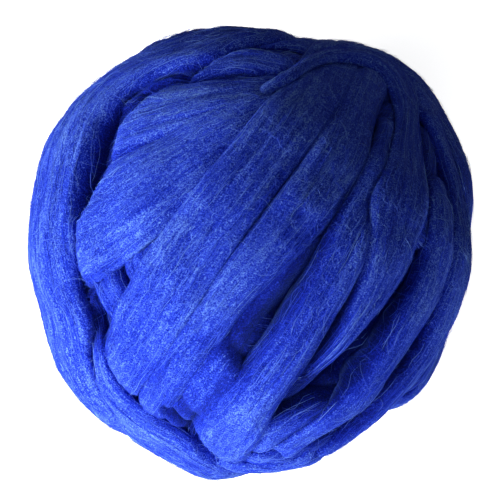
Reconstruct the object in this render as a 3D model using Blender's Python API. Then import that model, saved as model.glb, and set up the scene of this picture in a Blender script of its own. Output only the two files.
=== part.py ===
"""A ball of wool roving: one soft solid wound from broad overlapping straps.

The ball rests on a small flat spot.  +X runs to its right, +Y up its face and +Z away from the surface
it rests on.  Each strap is laid over whatever already lies beneath it, so it bridges the hollows, dips at
its edges and presses a groove into its neighbours.
"""
from collections import namedtuple

import bmesh
import bpy
import numpy as np

MM = 0.001
BALL_RADIUS = 0.100
CORE_RADIUS = 0.086
FLAT_DEPTH = 0.0925
SAG = 0.004
GROOVE_WIDTH = 3.0 * MM
STRAP_CELL = 2.2 * MM
STRAP_ROWS = 21
SAG_ALONG = 10 * MM
SAG_ACROSS = 7 * MM
CUSHION = 4 * MM
CROWDING = 8 * MM
STIFFNESS = 2
PACKING = 0.8
EDGE_BLEND = 1.0 * MM
EDGE_ROUND = 0.5
PINCH_ROUND = 1.4
FULL_TURN = 2 * np.pi
WAIST_LIMIT = 0.9975
WIDEST_CONE = 0.93
WIDEST = 1.15
LEAST_CELLS = 24
RING_STATIONS = 6
PATCH_SPOKES = 6
GRID_CUTS = 71
TRIANGLES = 11800
SOFTENING = 1.4 * MM
NODE = "roving_ball"
SLOT = "wool"
WOOL_BLUE = (0.030, 0.085, 0.620, 1.0)
WOOL_ROUGHNESS = 0.9

# Broad swells of the whole ball: turn round it, lift above its waist, height and spread.
Swell = namedtuple("Swell", "turn lift height_mm spread_deg")
SWELLS = (
    Swell(0, 0, -4.6, 13),
    Swell(20, 0, 4.6, 13),
    Swell(40, 0, 5.4, 13),
    Swell(60, 0, 3.7, 13),
    Swell(80, 0, -11.9, 13),
    Swell(100, 0, 5.2, 13),
    Swell(120, 0, 3.2, 13),
    Swell(140, 0, 10.4, 13),
    Swell(160, 0, -6.8, 13),
    Swell(180, 0, -0.3, 13),
    Swell(200, 0, -15.2, 13),
    Swell(220, 0, -23, 13),
    Swell(240, 0, -8.7, 13),
    Swell(260, 0, 1.8, 13),
    Swell(280, 0, -7.9, 13),
    Swell(300, 0, -16.6, 13),
    Swell(320, 0, -0.9, 13),
    Swell(340, 0, -8.2, 13),
    Swell(0, 90, -3, 60),
    Swell(0, -90, -1, 60),
)

# A station of a strap: the direction of its middle from the ball's centre and its half width.
Station = namedtuple("Station", "x y z half_mm")
# A strap: whether it closes on itself, how thick it is, the least it rises over its bed, how deep its edges
# press, how long an open end takes to thin out, how square its section is, and its stations.  A strap with
# a rise below nothing lies sunk in a gap, and one of no thickness is a bare pinch in whatever lies beneath.
Strap = namedtuple("Strap", "name closed thick_mm rise_mm press_mm taper_mm square stations")


def direction(turn, lift):
    """The unit direction at a turn round the ball and a lift above its waist, in degrees."""
    turn = np.radians(turn)
    lift = np.radians(lift)
    return np.array([np.cos(turn) * np.cos(lift), np.sin(turn) * np.cos(lift), np.sin(lift)])


def swell_height(places):
    """How far the ball swells from a true sphere at each unit direction."""
    height = np.zeros(places.shape[:-1])
    for swell in SWELLS:
        angle = np.arccos(np.clip(places @ direction(swell.turn, swell.lift), -1, 1))
        height = height + swell.height_mm * MM * np.exp(-(angle / np.radians(swell.spread_deg)) ** 2)
    return height


def over(x_mm, y_mm, half_mm):
    """A station on the upper side, from where it stands in plan."""
    radius = BALL_RADIUS
    for _ in range(4):
        flat = np.array([x_mm, y_mm]) * MM / radius
        flat = flat * min(1.0, WAIST_LIMIT / max(np.hypot(*flat), 0.01))
        place = np.array([flat[0], flat[1], np.sqrt(1 - flat @ flat)])
        radius = BALL_RADIUS + swell_height(place)
    return Station(*place, half_mm)


def rim(turn, lift, half_mm):
    """A station near the waist, from its turn round the ball and its lift."""
    return Station(*direction(turn, lift), half_mm)


def ring(name, turn, lift, half_mm):
    """A full turn of roving wound about the axis with the given turn and lift."""
    axis = direction(turn, lift)
    start = np.cross(axis, direction(turn + 90, 0))
    start = start / np.linalg.norm(start)
    side = np.cross(axis, start)
    angles = np.arange(RING_STATIONS) * FULL_TURN / RING_STATIONS
    stations = [Station(*(np.cos(a) * start + np.sin(a) * side), half_mm) for a in angles]
    return Strap(name, True, 7, 0.7, 1.5, 9, 3.4, tuple(stations))


# Full turns under everything else, and the ones that show round the back: axis turn, lift, half width.
RINGS = (
    ring("lining_1", 350, 10, 33),
    ring("lining_2", 80, -8, 33),
    ring("lining_3", 40, 80, 33),
    ring("turn_1", 142, 55, 22),
    ring("turn_2", 142, 28, 23),
    ring("turn_3", 142, 2, 23),
    ring("turn_4", 142, -24, 23),
    ring("turn_5", 142, -50, 22),
    ring("turn_6", 20, 24, 17),
    ring("turn_7", 72, -34, 17),
)

# Straps of the face, from the lowest to the last one wound.
FACE = (
    Strap("wedge", False, 7, 1.5, 1, 9, 3.4, (over(-80, 20, 10), over(-70, 4, 10), over(-61, -14, 10), over(-50, -34, 10))),
    Strap("hollow", False, -5, -5, 7, 9, 3.4, (
        over(26, 10, 15), over(12, -15, 16), over(-6, -40, 16), over(-24, -66, 14), over(-32, -78, 12))),
    Strap("hollow_cross", False, 2, 1.2, 0.3, 14, 2.0, (over(-24, -25, 11), over(-4, -33, 12), over(20, -43, 12))),
    Strap("foot_curl", False, 7, 1.5, 1, 9, 2.6, (
        over(-6, -84, 10), over(12, -78, 11), over(30, -71, 10), over(46, -66, 8), over(60, -56, 7))),
    Strap("crown_1", False, 7, 2, 1.2, 9, 3.4, (
        rim(130, 12, 12), over(-48, 73, 12), over(-28, 80, 12), over(-5, 83, 10), over(18, 79, 8), over(32, 75, 5))),
    Strap("fan_upper", False, 8, 2, 1, 9, 3.4, (
        rim(150, 14, 17), over(-68, 48, 18), over(-46, 58, 18), over(-20, 65, 13), over(6, 69, 10), over(24, 72, 8))),
    Strap("fan_lower", False, 8, 2, 1, 9, 3.4, (
        rim(184, 24, 22), over(-74, 6, 23), over(-50, 22, 22), over(-24, 40, 17), over(2, 56, 12), over(20, 64, 8))),
    Strap("shoulder", False, 9, 2.5, 1.3, 9, 2.8, (
        rim(96, 24, 5), rim(86, 20, 10), rim(76, 16, 15), rim(62, 11, 18), rim(46, 7, 19), rim(30, 3, 19), rim(10, 0, 19),
        rim(350, -1, 18), rim(330, -2, 16), rim(305, -5, 14))),
    Strap("right_3", False, 8, 2.5, 1.3, 9, 2.6, (
        over(-18, -88, 7), over(4, -90, 10), over(34, -85, 10), over(60, -72, 10), over(78, -50, 11),
        over(89, -22, 10), over(94, 5, 8), over(92, 30, 7))),
    Strap("right_2", False, 8, 2.5, 1.3, 9, 2.6, (
        over(80, 64, 6), over(87, 51, 7), over(91, 24, 8), over(91, 2, 9), over(87, -20, 10), over(80, -40, 10),
        over(68, -58, 9), over(54, -73, 8), over(35, -85, 7), over(17, -92, 6))),
    Strap("broad_right", False, 7, 1.6, 0.8, 9, 3.4, (
        over(60, 92, 9), over(49, 70, 11), over(37, 40, 13), over(15, 9, 13), over(-11, -20, 10.5),
        over(-28, -43, 11), over(-40, -62, 9), over(-48, -76, 8), over(-52, -84, 7))),
    Strap("broad_left", False, 7, 1.8, 0.9, 9, 3.4, (
        over(44, 94, 10), over(34, 82, 12), over(26, 68, 13), over(10, 46, 14), over(-15, 14, 15),
        over(-36, -16, 16), over(-51, -40, 15), over(-61, -56, 14), over(-67, -68, 14))),
    Strap("right_1", False, 8, 2.5, 1.4, 9, 2.6, (
        over(82, 34, 5), over(82, 19, 8), over(81, 2, 10), over(77, -14, 11), over(69, -30, 11), over(60, -46, 10),
        over(47, -62, 9), over(30, -76, 8), over(12, -86, 7))),
    Strap("bright", False, 9, 2.6, 1.4, 9, 3.2, (
        over(62, 58, 6), over(54, 28, 10), over(42, 4, 12), over(30, -19, 12), over(16, -43, 13),
        over(1, -62, 14), over(-10, -76, 15), over(-17, -87, 15))),
    Strap("arch", False, 9, 3.2, 1.6, 24, 2.8, (
        over(4, 66, 3), over(18, 75, 4), over(40, 84, 6), over(56, 81, 9), over(66, 69, 13), over(68, 54, 15),
        over(67, 37, 16.5), over(63, 20, 16.5), over(59, 2, 14.5), over(53, -14, 13), over(45, -28, 11),
        over(37, -40, 9), over(29, -50, 7), over(21, -59, 5))),
    Strap("belt", False, 9, 2, 1.3, 24, 2.4, (
        rim(346, -15, 4), rim(333, -10, 9), rim(317, -6, 13), rim(296, -3, 14), rim(275, -12, 15), rim(256, -26, 12))),
    Strap("foot", False, 8, 2, 1.3, 9, 2.2, (over(-30, -82, 6), over(-20, -89, 8), over(-6, -92, 8), over(12, -92, 8), over(30, -86, 7))),
    Strap("hem", False, 10, 3, 1.8, 9, 2.2, (
        rim(192, 42, 6), rim(200, 37, 9), rim(207, 33, 13), rim(218, 27, 19), rim(229, 24.5, 21), rim(238, 23.5, 21),
        rim(245, 21, 21), rim(251, 18, 20), rim(257, 10, 20), rim(264, 1, 19), rim(275, -8, 18), rim(290, -20, 17))),
    Strap("rope", True, 15, 7, 2.6, 9, 2.0, (
        rim(56, -26, 18), rim(66, -20, 19), rim(77, -8, 20), rim(88, 10, 21), rim(100, 17, 22), rim(112, 20, 24),
        rim(124, 18.5, 23), rim(135, 18, 23), rim(144, 20.5, 25), rim(153, 23, 27), rim(163, 25, 27), rim(176, 26, 27),
        rim(188, 27, 26), rim(195, 28, 25), rim(206, 23, 22), rim(213, 20, 20), rim(223, 16, 19), rim(233, 2, 18),
        rim(245, -14, 18), rim(258, -26, 18))),
    Strap("pit", False, 0, -6.5, 0, 8, 2.6, (
        over(51, -35, 4), over(47.5, -43, 7.5), over(43.5, -51, 8.5), over(39, -58.5, 5))),
    Strap("hem_gap", False, 0, -5, 0, 8, 2.6, (
        over(-38, -65, 2), over(-33.5, -69.6, 3), over(-28.5, -75, 3.4), over(-23, -80.9, 3.4), over(-18, -86.3, 3.4),
        over(-12.5, -90, 2.5))),
    Strap("rope_gap", False, 0, -8, 0, 18, 2.6, (
        over(-17, 82, 3.5), over(-30, 76, 5), over(-47, 66, 7), over(-58, 56.5, 9), over(-63, 45, 9.5), over(-66.5, 35, 8),
        over(-70, 25, 6), over(-73, 14, 4))),
)


def spline(knots, values, at):
    """A smooth curve through the values, whose first and last two knots only guide its ends."""
    rise = np.diff(values) / np.diff(knots)
    gap = np.diff(knots)
    slope = (rise[:-1] * gap[1:] + rise[1:] * gap[:-1]) / (gap[1:] + gap[:-1])
    i = np.clip(np.searchsorted(knots, at, side="right") - 1, 1, len(knots) - 3)
    span = knots[i + 1] - knots[i]
    t = (at - knots[i]) / span
    start = (2 * t ** 3 - 3 * t ** 2 + 1) * values[i] + (t ** 3 - 2 * t ** 2 + t) * span * slope[i - 1]
    finish = (3 * t ** 2 - 2 * t ** 3) * values[i + 1] + (t ** 3 - t ** 2) * span * slope[i]
    return start + finish


def blurred(grid, sigma, axis, closed):
    """The grid softened along one axis, sigma counted in cells."""
    reach = max(1, int(np.ceil(3 * sigma)))
    weights = np.exp(-0.5 * (np.arange(-reach, reach + 1) / sigma) ** 2)
    weights = weights / weights.sum()
    pad = [(0, 0), (0, 0)]
    pad[axis] = (reach, reach)
    padded = np.pad(grid, pad, mode="wrap" if closed else "edge")
    result = np.zeros_like(grid)
    for k, weight in enumerate(weights):
        window = np.take(padded, np.arange(k, k + grid.shape[axis]), axis=axis)
        result += weight * window
    return result


class Wound:
    """One strap laid on the ball: a band that wanders either side of a circle round the ball."""

    def __init__(self, strap):
        self.strap = strap
        self.pinch = strap.thick_mm == 0
        rows = np.array(strap.stations)
        middles = rows[:, :3]
        halves = rows[:, 3] * MM / BALL_RADIUS
        if len(middles) == 3:
            axis = np.cross(middles[1] - middles[0], middles[2] - middles[1])
        else:
            axis = np.linalg.svd(middles - middles.mean(0))[2][-1]
        axis = axis / np.linalg.norm(axis)
        if axis @ np.cross(middles[:-1], middles[1:]).sum(0) < 0:
            axis = -axis
        self.axis = axis
        self.opening = np.arccos(np.clip((middles @ axis).mean(), -WIDEST_CONE, WIDEST_CONE))
        start = middles[0] - axis * (middles[0] @ axis)
        self.start = start / np.linalg.norm(start)
        self.side = np.cross(axis, self.start)
        turns = np.arctan2(middles @ self.side, middles @ self.start)
        turns[0] = 0
        for k in range(1, len(turns)):
            turns[k] += FULL_TURN * np.ceil((turns[k - 1] - 1 - turns[k]) / FULL_TURN)
        sways = np.arccos(np.clip(middles @ axis, -1, 1)) - self.opening
        self.guide(turns, sways, halves)
        self.reach = BALL_RADIUS * np.sin(self.opening)
        self.cells = max(LEAST_CELLS, int((self.last - self.first) * self.reach / STRAP_CELL))
        self.band = np.abs(self.sways).max() + WIDEST * self.halves.max() + 3 * GROOVE_WIDTH / BALL_RADIUS
        self.tops = None

    def guide(self, turns, sways, halves):
        """Keep the stations with the guiding knots past each end."""
        if self.strap.closed:
            far = (turns[-1] + turns[0] + FULL_TURN) / 2
            turns = np.append(turns, far)
            sways = np.append(sways, 0)
            halves = np.append(halves, halves.mean())
            self.first, self.last = 0, FULL_TURN
            self.knots = np.concatenate([turns[-2:] - FULL_TURN, turns, turns[:2] + FULL_TURN])
            self.sways = np.concatenate([sways[-2:], sways, sways[:2]])
            self.halves = np.concatenate([halves[-2:], halves, halves[:2]])
            return
        self.first, self.last = turns[0], turns[-1]
        lead = (turns[1] - turns[0]) * np.array([2, 1])
        trail = (turns[-1] - turns[-2]) * np.array([1, 2])
        self.knots = np.concatenate([turns[0] - lead, turns, turns[-1] + trail])
        self.sways = np.concatenate([[2 * sways[0] - sways[1]] * 2, sways, [2 * sways[-1] - sways[-2]] * 2])
        self.halves = np.concatenate([[halves[0]] * 2, halves, [halves[-1]] * 2])

    def middle(self, turn):
        """The angle from the axis to the strap's middle."""
        return self.opening + spline(self.knots, self.sways, turn)

    def half(self, turn):
        """The strap's half width as an angle."""
        return spline(self.knots, self.halves, turn)

    def place(self, turn, across):
        """The unit direction at a turn and a share of the half width across."""
        angle = (self.middle(turn) + across * self.half(turn))[..., None]
        outward = np.cos(turn)[..., None] * self.start + np.sin(turn)[..., None] * self.side
        return np.cos(angle) * self.axis + np.sin(angle) * outward

    def body(self, turn):
        """How full the strap is: one along it, running to nothing at an open end."""
        if self.strap.closed:
            return np.ones(turn.shape)
        inside = np.minimum(turn - self.first, self.last - turn) * self.reach / (self.strap.taper_mm * MM)
        return np.sqrt(1 - (1 - np.clip(inside, 0, 1)) ** 2)

    def dent(self, turn, across, beyond):
        """How far this strap presses in what lies beneath it; a pinch is all dent."""
        if self.pinch:
            section = np.clip(1 - np.abs(across) ** self.strap.square, 0, 1) ** PINCH_ROUND
            return -self.strap.rise_mm * MM * self.body(turn) * section
        return self.strap.press_mm * MM * self.body(turn) * np.exp(-(beyond / GROOVE_WIDTH) ** 2)

    def lay_on(self, places, heights):
        """The heights at the places once this strap lies on them."""
        heights = heights.copy()
        lean = np.arccos(np.clip(places @ self.axis, -1, 1))
        near = np.nonzero(np.abs(lean - self.opening) < self.band)[0]
        centre = (self.first + self.last) / 2
        turn = np.arctan2(places[near] @ self.side, places[near] @ self.start)
        turn = (turn - centre + np.pi) % FULL_TURN - np.pi + centre
        kept = (turn >= self.first) & (turn <= self.last)
        near, turn = near[kept], turn[kept]
        if not len(near):
            return heights
        offset = lean[near] - self.middle(turn)
        half = self.half(turn)
        beyond = np.clip(np.abs(offset) - half, 0, None) * BALL_RADIUS
        across = offset / half
        level = heights[near] - self.dent(turn, across, beyond)
        if self.pinch:
            heights[near] = level
            return heights
        covered = np.abs(across) < 1
        along = (turn[covered] - self.first) / (self.last - self.first) * self.cells
        row = (across[covered] + 1) / 2 * (STRAP_ROWS - 1)
        level[covered] = np.maximum(level[covered], bilinear(self.tops, along, row))
        heights[near] = level
        return heights

    def softened(self, grid, along, across):
        """A grid of the strap softened by the given reaches along and across it."""
        turns = np.linspace(self.first, self.last, self.cells + 1)
        along_cells = along / ((self.last - self.first) * self.reach / self.cells)
        across_cells = across / (2 * self.half(turns).mean() * BALL_RADIUS / (grid.shape[1] - 1))
        if self.strap.closed:
            soft = blurred(grid[:-1], along_cells, 0, True)
            soft = np.concatenate([soft, soft[:1]])
        else:
            soft = blurred(grid, along_cells, 0, False)
        return blurred(soft, across_cells, 1, False)


def bilinear(grid, along, row):
    """The grid read between its points."""
    i = np.clip(np.floor(along).astype(int), 0, grid.shape[0] - 2)
    j = np.clip(np.floor(row).astype(int), 0, grid.shape[1] - 2)
    u = along - i
    v = row - j
    near = grid[i, j] * (1 - v) + grid[i, j + 1] * v
    far = grid[i + 1, j] * (1 - v) + grid[i + 1, j + 1] * v
    return near * (1 - u) + far * u


def surface(places, wound):
    """The height over the core at each place, with all the wound straps on it."""
    heights = swell_height(places)
    for strap in wound:
        heights = strap.lay_on(places, heights)
    return heights


def drape(strap, wound):
    """Wind one more strap: it bridges what lies beneath, packs down and rounds off at its edges."""
    lay = Wound(strap)
    if lay.pinch:
        return lay
    turns = np.linspace(lay.first, lay.last, lay.cells + 1)
    turn, across = np.meshgrid(turns, np.linspace(-1, 1, STRAP_ROWS), indexing="ij")
    places = lay.place(turn, across).reshape(-1, 3)
    beneath = surface(places, wound).reshape(turn.shape)
    allowed = (BALL_RADIUS - CORE_RADIUS) + swell_height(places).reshape(turn.shape)
    bridged = lay.softened(beneath, SAG_ALONG, SAG_ACROSS)
    cushion = lay.softened(beneath, max(CUSHION, STIFFNESS * strap.rise_mm * MM), CUSHION)
    full = bridged + strap.thick_mm * MM
    packed = full - PACKING * np.clip(full - allowed, 0, None)
    crowded = np.exp(-np.clip(cushion - allowed, 0, None) / CROWDING)
    least = cushion + strap.rise_mm * MM * crowded
    crown = 0.5 * (packed + least + np.sqrt((packed - least) ** 2 + EDGE_BLEND ** 2))
    section = np.clip(1 - np.abs(across) ** strap.square, 0, 1) ** EDGE_ROUND
    edge = cushion - strap.press_mm * MM
    tops = edge + (crown - edge) * section
    body = lay.body(turns)[:, None]
    lay.tops = body * tops + (1 - body) * (beneath - strap.press_mm * MM)
    return lay


def wind():
    """All the straps, wound in order."""
    wound = []
    for strap in RINGS + FACE:
        wound.append(drape(strap, wound))
    return wound


def clear_scene():
    """Start from an empty scene."""
    for thing in list(bpy.data.objects):
        bpy.data.objects.remove(thing, do_unlink=True)


def wool():
    """A matt blue wool."""
    material = bpy.data.materials.new(SLOT)
    material.use_nodes = True
    shader = material.node_tree.nodes["Principled BSDF"]
    shader.inputs["Base Color"].default_value = WOOL_BLUE
    shader.inputs["Roughness"].default_value = WOOL_ROUGHNESS
    material.diffuse_color = WOOL_BLUE
    return material


def even_sphere(mesh):
    """Unit directions spread evenly, from a divided cube's corners."""
    corners = np.array([vertex.co for vertex in mesh.verts])
    spread = np.tan(corners * np.pi / 4)
    return spread / np.linalg.norm(spread, axis=1, keepdims=True)


def softened_surface(places, wound):
    """The surface averaged over a small patch, as soft fibre shows it."""
    helper = np.where(np.abs(places[:, 2:3]) < 0.8, [[0.0, 0.0, 1.0]], [[1.0, 0.0, 0.0]])
    first = np.cross(places, helper)
    first = first / np.linalg.norm(first, axis=1, keepdims=True)
    second = np.cross(places, first)
    total = surface(places, wound)
    for k in range(PATCH_SPOKES):
        angle = k * FULL_TURN / PATCH_SPOKES
        step = (np.cos(angle) * first + np.sin(angle) * second) * SOFTENING / BALL_RADIUS
        moved = places + step
        moved = moved / np.linalg.norm(moved, axis=1, keepdims=True)
        total = total + surface(moved, wound)
    return total / (PATCH_SPOKES + 1)


def build_ball():
    """The wound ball as one closed mesh on its flat spot."""
    mesh = bmesh.new()
    bmesh.ops.create_cube(mesh, size=2)
    bmesh.ops.subdivide_edges(mesh, edges=mesh.edges[:], cuts=GRID_CUTS, use_grid_fill=True)
    places = even_sphere(mesh)
    points = places * (CORE_RADIUS + softened_surface(places, wind()))[:, None]
    above = points[:, 2] + FLAT_DEPTH
    points[:, 2] = 0.5 * (above + np.sqrt(above ** 2 + SAG ** 2)) - FLAT_DEPTH
    for vertex, point in zip(mesh.verts, points):
        vertex.co = point
    data = bpy.data.meshes.new(NODE)
    mesh.to_mesh(data)
    mesh.free()
    return data


def thinned(ball):
    """The ball with its faces thinned to what its folds need."""
    modifier = ball.modifiers.new("thin", "DECIMATE")
    modifier.ratio = TRIANGLES / (2 * len(ball.data.polygons))
    depsgraph = bpy.context.evaluated_depsgraph_get()
    thin = bpy.data.meshes.new_from_object(ball.evaluated_get(depsgraph))
    ball.modifiers.clear()
    ball.data = thin


def rest_on_flat(ball):
    """Cut the flat spot, set it on the surface and centre the ball over it."""
    mesh = bmesh.new()
    mesh.from_mesh(ball.data)
    everything = mesh.verts[:] + mesh.edges[:] + mesh.faces[:]
    cut = bmesh.ops.bisect_plane(mesh, geom=everything, dist=1e-6, plane_co=(0, 0, SAG / 2 - FLAT_DEPTH),
                                 plane_no=(0, 0, -1), clear_outer=True)
    border = [part for part in cut["geom_cut"] if isinstance(part, bmesh.types.BMEdge)]
    bmesh.ops.edgenet_fill(mesh, edges=border)
    bmesh.ops.dissolve_degenerate(mesh, edges=mesh.edges[:], dist=1e-6)
    bmesh.ops.triangulate(mesh, faces=[face for face in mesh.faces if len(face.verts) > 4])
    bmesh.ops.recalc_face_normals(mesh, faces=mesh.faces[:])
    points = np.array([vertex.co for vertex in mesh.verts])
    low = points.min(0)
    high = points.max(0)
    bmesh.ops.translate(mesh, verts=mesh.verts[:], vec=(-(low[0] + high[0]) / 2, -(low[1] + high[1]) / 2, -low[2]))
    mesh.to_mesh(ball.data)
    mesh.free()


def main():
    clear_scene()
    ball = bpy.data.objects.new(NODE, build_ball())
    collection = bpy.data.collections.new("ball of wool roving")
    bpy.context.scene.collection.children.link(collection)
    collection.objects.link(ball)
    thinned(ball)
    rest_on_flat(ball)
    ball.data.name = NODE
    ball.data.materials.clear()
    ball.data.materials.append(wool())


main()
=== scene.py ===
"""The looks of a ball of blue wool roving: its wound straps, their fibres and a plain stage."""

from collections import namedtuple

import bmesh
import bpy
import numpy as np
from bpy.props import FloatProperty, FloatVectorProperty, IntProperty, PointerProperty
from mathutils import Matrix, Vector


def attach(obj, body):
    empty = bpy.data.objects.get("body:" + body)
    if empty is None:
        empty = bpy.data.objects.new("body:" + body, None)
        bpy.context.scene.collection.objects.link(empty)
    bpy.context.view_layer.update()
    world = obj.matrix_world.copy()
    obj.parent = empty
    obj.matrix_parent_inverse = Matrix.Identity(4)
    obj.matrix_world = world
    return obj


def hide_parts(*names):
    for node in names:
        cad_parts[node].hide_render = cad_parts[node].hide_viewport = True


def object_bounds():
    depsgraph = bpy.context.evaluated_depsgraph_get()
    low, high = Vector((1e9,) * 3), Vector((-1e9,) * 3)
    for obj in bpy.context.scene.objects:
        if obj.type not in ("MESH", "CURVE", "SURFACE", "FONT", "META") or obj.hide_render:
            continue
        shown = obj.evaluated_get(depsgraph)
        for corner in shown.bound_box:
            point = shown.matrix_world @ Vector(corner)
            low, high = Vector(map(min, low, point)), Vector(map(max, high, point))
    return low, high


bl_info = {
    "name": "Roving ball",
    "version": (1, 0, 0),
    "blender": (4, 5, 0),
    "location": "View3D > Sidebar > Roving",
    "description": "Winds a ball of wool roving and lays its fibres",
    "category": "Add Mesh",
}

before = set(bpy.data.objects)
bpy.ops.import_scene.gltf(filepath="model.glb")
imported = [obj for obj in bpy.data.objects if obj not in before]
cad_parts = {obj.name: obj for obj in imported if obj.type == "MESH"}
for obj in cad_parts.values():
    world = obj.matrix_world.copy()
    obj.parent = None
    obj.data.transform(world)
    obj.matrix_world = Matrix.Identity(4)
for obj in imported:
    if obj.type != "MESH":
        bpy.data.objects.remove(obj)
CAD_LOW, CAD_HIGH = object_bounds()
CAD_NODE = "roving_ball"
BODY = "root"

MM = 0.001
FULL_TURN = 2 * np.pi

# The ball: its mean radius, the core that heights are counted from, and how deep and how softly it is
# flattened.
BALL_RADIUS = 0.100
CORE_RADIUS = 0.086
FLAT_DEPTH = 0.0925
SAG = 0.004

# How a strap beds down: the groove beside it, how far it bridges along and across, the cushion that it rises
# from and how stiffly, how it gives way where straps crowd and packs down, and how its edges round off.
GROOVE_WIDTH = 2.2 * MM
SAG_ALONG = 10 * MM
SAG_ACROSS = 7 * MM
CUSHION = 4 * MM
STIFFNESS = 2
CROWDING = 8 * MM
PACKING = 0.8
EDGE_BLEND = 1.0 * MM
EDGE_ROUND = 0.5
PINCH_ROUND = 1.4

# Painted shade in the gaps: wool starts to be darkened where it lies lower than this far over the ball's own
# swells, and is wholly darkened this much deeper.
GAP_SHADE_FROM = 1.0 * MM
GAP_SHADE_FULL = 6.0 * MM

# Limits: how near the waist an upper station may stand, the narrowest cone that a strap is wound round, how
# far it may swell past its stations' half widths, and its fewest cells; and the stations of a full turn.
WAIST_LIMIT = 0.9975
NARROWEST_CONE = 0.93
WIDEST = 1.15
LEAST_CELLS = 24
RING_STATIONS = 6

# The directions by which the resting ball is centred: so many turns, at these lifts.
REST_TURNS = 400
REST_LIFTS = range(-24, 25, 3)

# Cells of a strap's mesh: how long each is, and how many lie across its top and its underside.
Weave = namedtuple("Weave", "cell_mm rows under_rows")
FINE = Weave(2.0, 41, 7)
COARSE = Weave(3.4, 31, 5)

# Broad swells of the whole ball: turn round it, lift above its waist, height and spread.  The ones of the
# waist stand every 20 degrees round it, and a separate fitting script found their heights, so that the ball's
# outline has its right reach.
Swell = namedtuple("Swell", "turn lift height_mm spread_deg")
WAIST_MM = (
    -4.6, 4.6, 5.4, 3.7, -11.9, 5.2, 3.2, 10.4, -6.8, -0.3, -15.2, -23, -8.7, 1.8, -7.9, -16.6, -0.9, -8.2)
SWELLS = (
    *(Swell(20 * step, 0, height_mm, 13) for step, height_mm in enumerate(WAIST_MM)),
    Swell(0, 90, -3, 60),
    Swell(0, -90, -1, 60),
)

# A station of a strap: the direction of its middle from the ball's centre and its half width.
Station = namedtuple("Station", "x y z half_mm")
# A strap: whether it closes on itself, how thick it is, the least it rises over its bed, how deep its edges
# press, how long an open end takes to thin out, how square its section is, and its stations.  A strap with
# a rise below nothing lies sunk in a gap, and one of no thickness is a bare pinch in whatever lies beneath.
Strap = namedtuple("Strap", "name closed thick_mm rise_mm press_mm taper_mm square stations")


def direction(turn, lift):
    """The unit direction at a turn round the ball and a lift above its waist, in degrees."""
    turn = np.radians(turn)
    lift = np.radians(lift)
    return np.array([np.cos(turn) * np.cos(lift), np.sin(turn) * np.cos(lift), np.sin(lift)])


def swell_height(places):
    """How far the ball swells from a true sphere at each unit direction."""
    height = np.zeros(places.shape[:-1])
    for swell in SWELLS:
        angle = np.arccos(np.clip(places @ direction(swell.turn, swell.lift), -1, 1))
        height = height + swell.height_mm * MM * np.exp(-(angle / np.radians(swell.spread_deg)) ** 2)
    return height


def open_level(places):
    """The height over the core at which the ball's own swells lie."""
    return (BALL_RADIUS - CORE_RADIUS) + swell_height(places)


def unit(vectors):
    """The vectors at length one."""
    return vectors / np.linalg.norm(vectors, axis=-1, keepdims=True)


def over(x_mm, y_mm, half_mm):
    """A station on the upper side, from where it stands in plan."""
    radius = BALL_RADIUS
    for _ in range(4):
        flat = np.array([x_mm, y_mm]) * MM / radius
        flat = flat * min(1.0, WAIST_LIMIT / max(np.hypot(*flat), 0.01))
        place = np.array([flat[0], flat[1], np.sqrt(1 - flat @ flat)])
        radius = BALL_RADIUS + swell_height(place)
    return Station(*place, half_mm)


def rim(turn, lift, half_mm):
    """A station near the waist, from its turn round the ball and its lift."""
    return Station(*direction(turn, lift), half_mm)


def ring(name, turn, lift, half_mm):
    """A full turn of roving wound about the axis with the given turn and lift."""
    axis = direction(turn, lift)
    start = unit(np.cross(axis, direction(turn + 90, 0)))
    side = np.cross(axis, start)
    angles = np.arange(RING_STATIONS) * FULL_TURN / RING_STATIONS
    stations = [Station(*(np.cos(a) * start + np.sin(a) * side), half_mm) for a in angles]
    return Strap(name, True, thick_mm=7, rise_mm=0.7, press_mm=1.5, taper_mm=9, square=3.4,
                 stations=tuple(stations))


# Full turns under everything else, and the ones that show round the back: axis turn, lift, half width.
RINGS = (
    ring("lining_1", 350, 10, 33),
    ring("lining_2", 80, -8, 33),
    ring("lining_3", 40, 80, 33),
    ring("turn_1", 142, 55, 22),
    ring("turn_2", 142, 28, 23),
    ring("turn_3", 142, 2, 23),
    ring("turn_4", 142, -24, 23),
    ring("turn_5", 142, -50, 22),
    ring("turn_6", 20, 24, 17),
    ring("turn_7", 72, -34, 17),
)

COARSE_STRAPS = {turn.name for turn in RINGS}

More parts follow.
